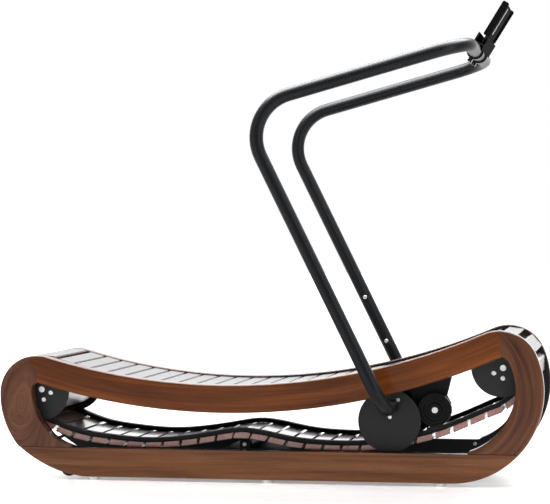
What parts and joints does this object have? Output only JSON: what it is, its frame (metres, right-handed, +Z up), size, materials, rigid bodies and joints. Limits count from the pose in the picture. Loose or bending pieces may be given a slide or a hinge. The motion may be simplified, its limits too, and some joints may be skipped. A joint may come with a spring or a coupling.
{
  "type": "curved manual treadmill",
  "caption": "Motorless treadmill with a concave belt of wooden slats between two laminated walnut side frames, a bent tube handrail and a tilting tablet holder.",
  "frame": {"origin": "on the floor under the middle of the machine's bounding box", "axes": "+X in the running direction (front), +Y to the runner's left, +Z up"},
  "size_m": [1.722, 0.8324, 1.5072],
  "materials": {
    "walnut": "clear satin lacquer, straight grain along the rail",
    "walnut_curly": "clear satin lacquer, dark curly grain",
    "walnut_light": "clear satin lacquer, straight grain",
    "slat_walnut": "clear lacquered slats",
    "pad_rubber": "fine matte running surface",
    "belt_rubber": "matte moulded rubber",
    "black_steel": "black powder coat",
    "tube_black": "black satin coat",
    "holder_steel": "dark brushed coat",
    "drum_aluminium": "turned",
    "bearing_steel": "ground",
    "bright_steel": "zinc plated",
    "wheel_plastic": "moulded polyurethane",
    "foot_rubber": "matte"
  },
  "bodies": {
    "frame": {"axle_bolts": "bright_steel", "centre_cross_plate": "black_steel", "cross_tubes": "black_steel", "drum_bearings": "bearing_steel", "feet": "foot_rubber", "front_axle": "bearing_steel", "handrail": "tube_black", "handrail_bolts": "bright_steel", "handrail_spigots": "bearing_steel", "hold_down_shaft": "bearing_steel", "left_bottom_rail": "walnut_light", "left_front_bow": "walnut_curly", "left_front_disc": "black_steel", "left_handrail_disc": "black_steel", "left_handrail_stub": "tube_black", "left_rear_bow": "walnut_curly", "left_rear_disc": "black_steel", "left_side_plate": "black_steel", "left_toothed_belt": "belt_rubber", "left_top_rail": "walnut", "left_wheel_hanger": "black_steel", "panel_screws": "bright_steel", "rear_axle": "bearing_steel", "rear_tie_rod": "bearing_steel", "return_roller_axle": "bearing_steel", "return_roller_posts": "black_steel", "right_bottom_rail": "walnut_light", "right_front_bow": "walnut_curly", "right_front_disc": "black_steel", "right_handrail_disc": "black_steel", "right_handrail_stub": "tube_black", "right_rear_bow": "walnut_curly", "right_rear_disc": "black_steel", "right_side_plate": "black_steel", "right_toothed_belt": "belt_rubber", "right_top_rail": "walnut", "right_wheel_hanger": "black_steel", "roller_studs": "bearing_steel", "slat_bolts": "bright_steel", "slat_pads": "pad_rubber", "slats": "slat_walnut"},
    "front_drum": {"front_drum": "drum_aluminium"},
    "rear_drum": {"rear_drum": "drum_aluminium"},
    "return_roller": {"return_roller": "drum_aluminium"},
    "hold_down_wheel": {"hold_down_wheel": "wheel_plastic"},
    "right_transport_wheel": {"right_transport_wheel": "wheel_plastic"},
    "left_transport_wheel": {"left_transport_wheel": "wheel_plastic"},
    "tablet_holder": {"tablet_back": "holder_steel", "tablet_bracket": "holder_steel", "tablet_clamp_screws": "bright_steel", "tablet_clamps": "black_steel", "tablet_side_rails": "black_steel"},
    "guide_rollers_01": {"guide_rollers_01": "wheel_plastic"},
    "guide_rollers_02": {"guide_rollers_02": "wheel_plastic"},
    "guide_rollers_03": {"guide_rollers_03": "wheel_plastic"},
    "guide_rollers_04": {"guide_rollers_04": "wheel_plastic"},
    "guide_rollers_05": {"guide_rollers_05": "wheel_plastic"},
    "guide_rollers_06": {"guide_rollers_06": "wheel_plastic"},
    "guide_rollers_07": {"guide_rollers_07": "wheel_plastic"}
  },
  "joints": [
    {"name": "front_drum_spin", "type": "hinge", "parent": "frame", "child": "front_drum", "pos_m": [0.734, 0, 0.36628], "axis": [0, 1, 0], "continuous": true},
    {"name": "rear_drum_spin", "type": "hinge", "parent": "frame", "child": "rear_drum", "pos_m": [-0.738, 0, 0.28222], "axis": [0, 1, 0], "continuous": true},
    {"name": "guide_rollers_01_spin", "type": "hinge", "parent": "frame", "child": "guide_rollers_01", "pos_m": [-0.59, 0, 0.30472], "axis": [0, 1, 0], "continuous": true},
    {"name": "guide_rollers_02_spin", "type": "hinge", "parent": "frame", "child": "guide_rollers_02", "pos_m": [-0.39333, 0, 0.26919], "axis": [0, 1, 0], "continuous": true},
    {"name": "guide_rollers_03_spin", "type": "hinge", "parent": "frame", "child": "guide_rollers_03", "pos_m": [-0.19667, 0, 0.25257], "axis": [0, 1, 0], "continuous": true},
    {"name": "guide_rollers_04_spin", "type": "hinge", "parent": "frame", "child": "guide_rollers_04", "pos_m": [0, 0, 0.25441], "axis": [0, 1, 0], "continuous": true},
    {"name": "guide_rollers_05_spin", "type": "hinge", "parent": "frame", "child": "guide_rollers_05", "pos_m": [0.19667, 0, 0.27476], "axis": [0, 1, 0], "continuous": true},
    {"name": "guide_rollers_06_spin", "type": "hinge", "parent": "frame", "child": "guide_rollers_06", "pos_m": [0.39333, 0, 0.31417], "axis": [0, 1, 0], "continuous": true},
    {"name": "guide_rollers_07_spin", "type": "hinge", "parent": "frame", "child": "guide_rollers_07", "pos_m": [0.59, 0, 0.37378], "axis": [0, 1, 0], "continuous": true},
    {"name": "return_roller_spin", "type": "hinge", "parent": "frame", "child": "return_roller", "pos_m": [-0.084, 0, 0.11298], "axis": [0, 1, 0], "continuous": true},
    {"name": "hold_down_wheel_spin", "type": "hinge", "parent": "frame", "child": "hold_down_wheel", "pos_m": [0.5215, 0, 0.23176], "axis": [0, 1, 0], "continuous": true},
    {"name": "right_transport_wheel_spin", "type": "hinge", "parent": "frame", "child": "right_transport_wheel", "pos_m": [-0.651, 0, 0.031], "axis": [0, 1, 0], "continuous": true},
    {"name": "left_transport_wheel_spin", "type": "hinge", "parent": "frame", "child": "left_transport_wheel", "pos_m": [-0.651, 0, 0.031], "axis": [0, 1, 0], "continuous": true},
    {"name": "tablet_tilt", "type": "hinge", "parent": "frame", "child": "tablet_holder", "pos_m": [0.638, 0, 1.35506], "axis": [0, 1, 0], "range_deg": [-20, 20]}
  ],
  "couplings": [
    {"joint": "rear_drum_spin", "follows": "front_drum_spin", "ratio": 1},
    {"joint": "guide_rollers_01_spin", "follows": "front_drum_spin", "ratio": 5},
    {"joint": "guide_rollers_02_spin", "follows": "front_drum_spin", "ratio": 5},
    {"joint": "guide_rollers_03_spin", "follows": "front_drum_spin", "ratio": 5},
    {"joint": "guide_rollers_04_spin", "follows": "front_drum_spin", "ratio": 5},
    {"joint": "guide_rollers_05_spin", "follows": "front_drum_spin", "ratio": 5},
    {"joint": "guide_rollers_06_spin", "follows": "front_drum_spin", "ratio": 5},
    {"joint": "guide_rollers_07_spin", "follows": "front_drum_spin", "ratio": 5},
    {"joint": "return_roller_spin", "follows": "front_drum_spin", "ratio": -3.75},
    {"joint": "hold_down_wheel_spin", "follows": "front_drum_spin", "ratio": 1.4423}
  ]
}
